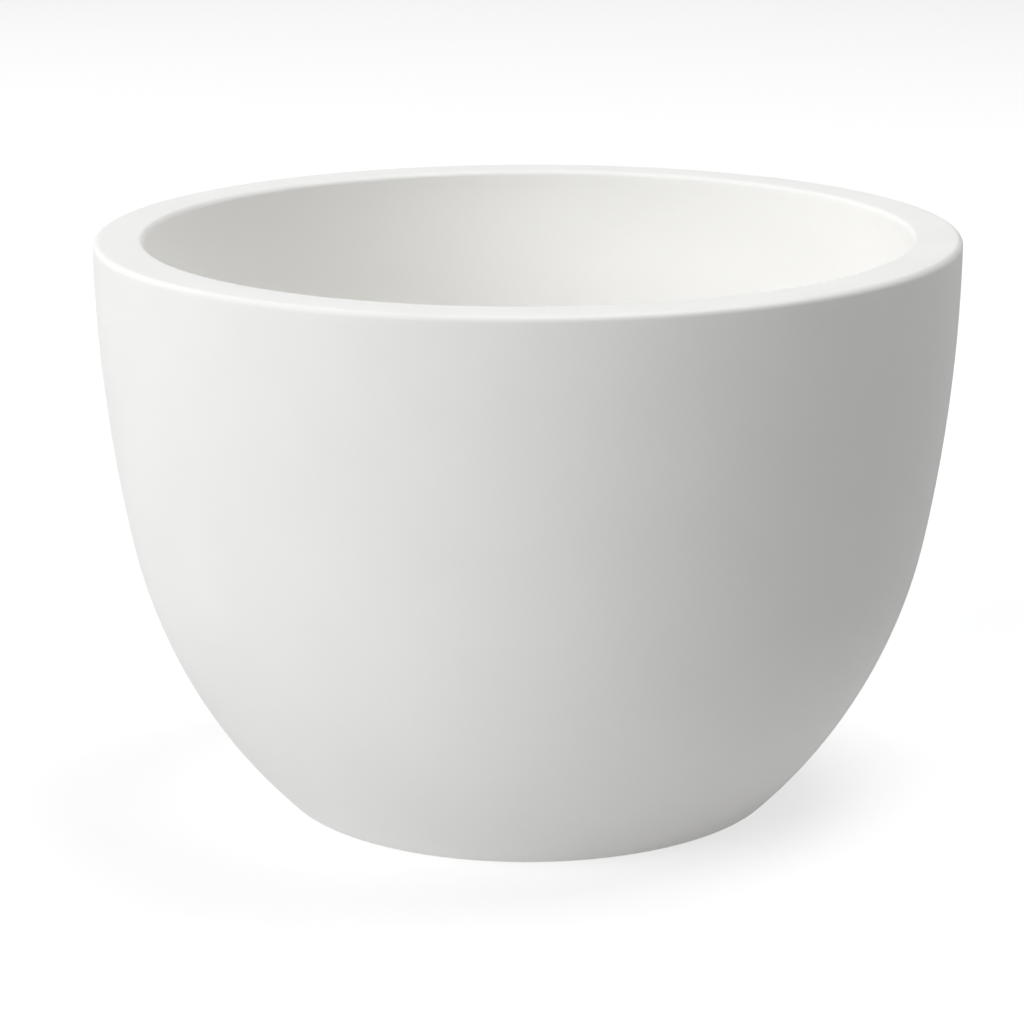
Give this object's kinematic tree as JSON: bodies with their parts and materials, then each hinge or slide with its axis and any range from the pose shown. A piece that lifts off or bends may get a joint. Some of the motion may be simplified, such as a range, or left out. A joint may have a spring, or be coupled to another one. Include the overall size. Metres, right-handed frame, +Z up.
{
  "type": "foundry crucible",
  "caption": "Round white ceramic melting crucible: a thick-walled bowl with a flat mouth land, softly rounded edges and a flat base.",
  "frame": {"origin": "centre of the flat base", "axes": "+Z up along the axis of revolution, out of the mouth; +X and +Y are free, because the bowl is round"},
  "size_m": [0.12, 0.12, 0.08],
  "materials": {
    "ceramic": "matte"
  },
  "bodies": {
    "root": {"crucible": "ceramic"}
  },
  "joints": []
}
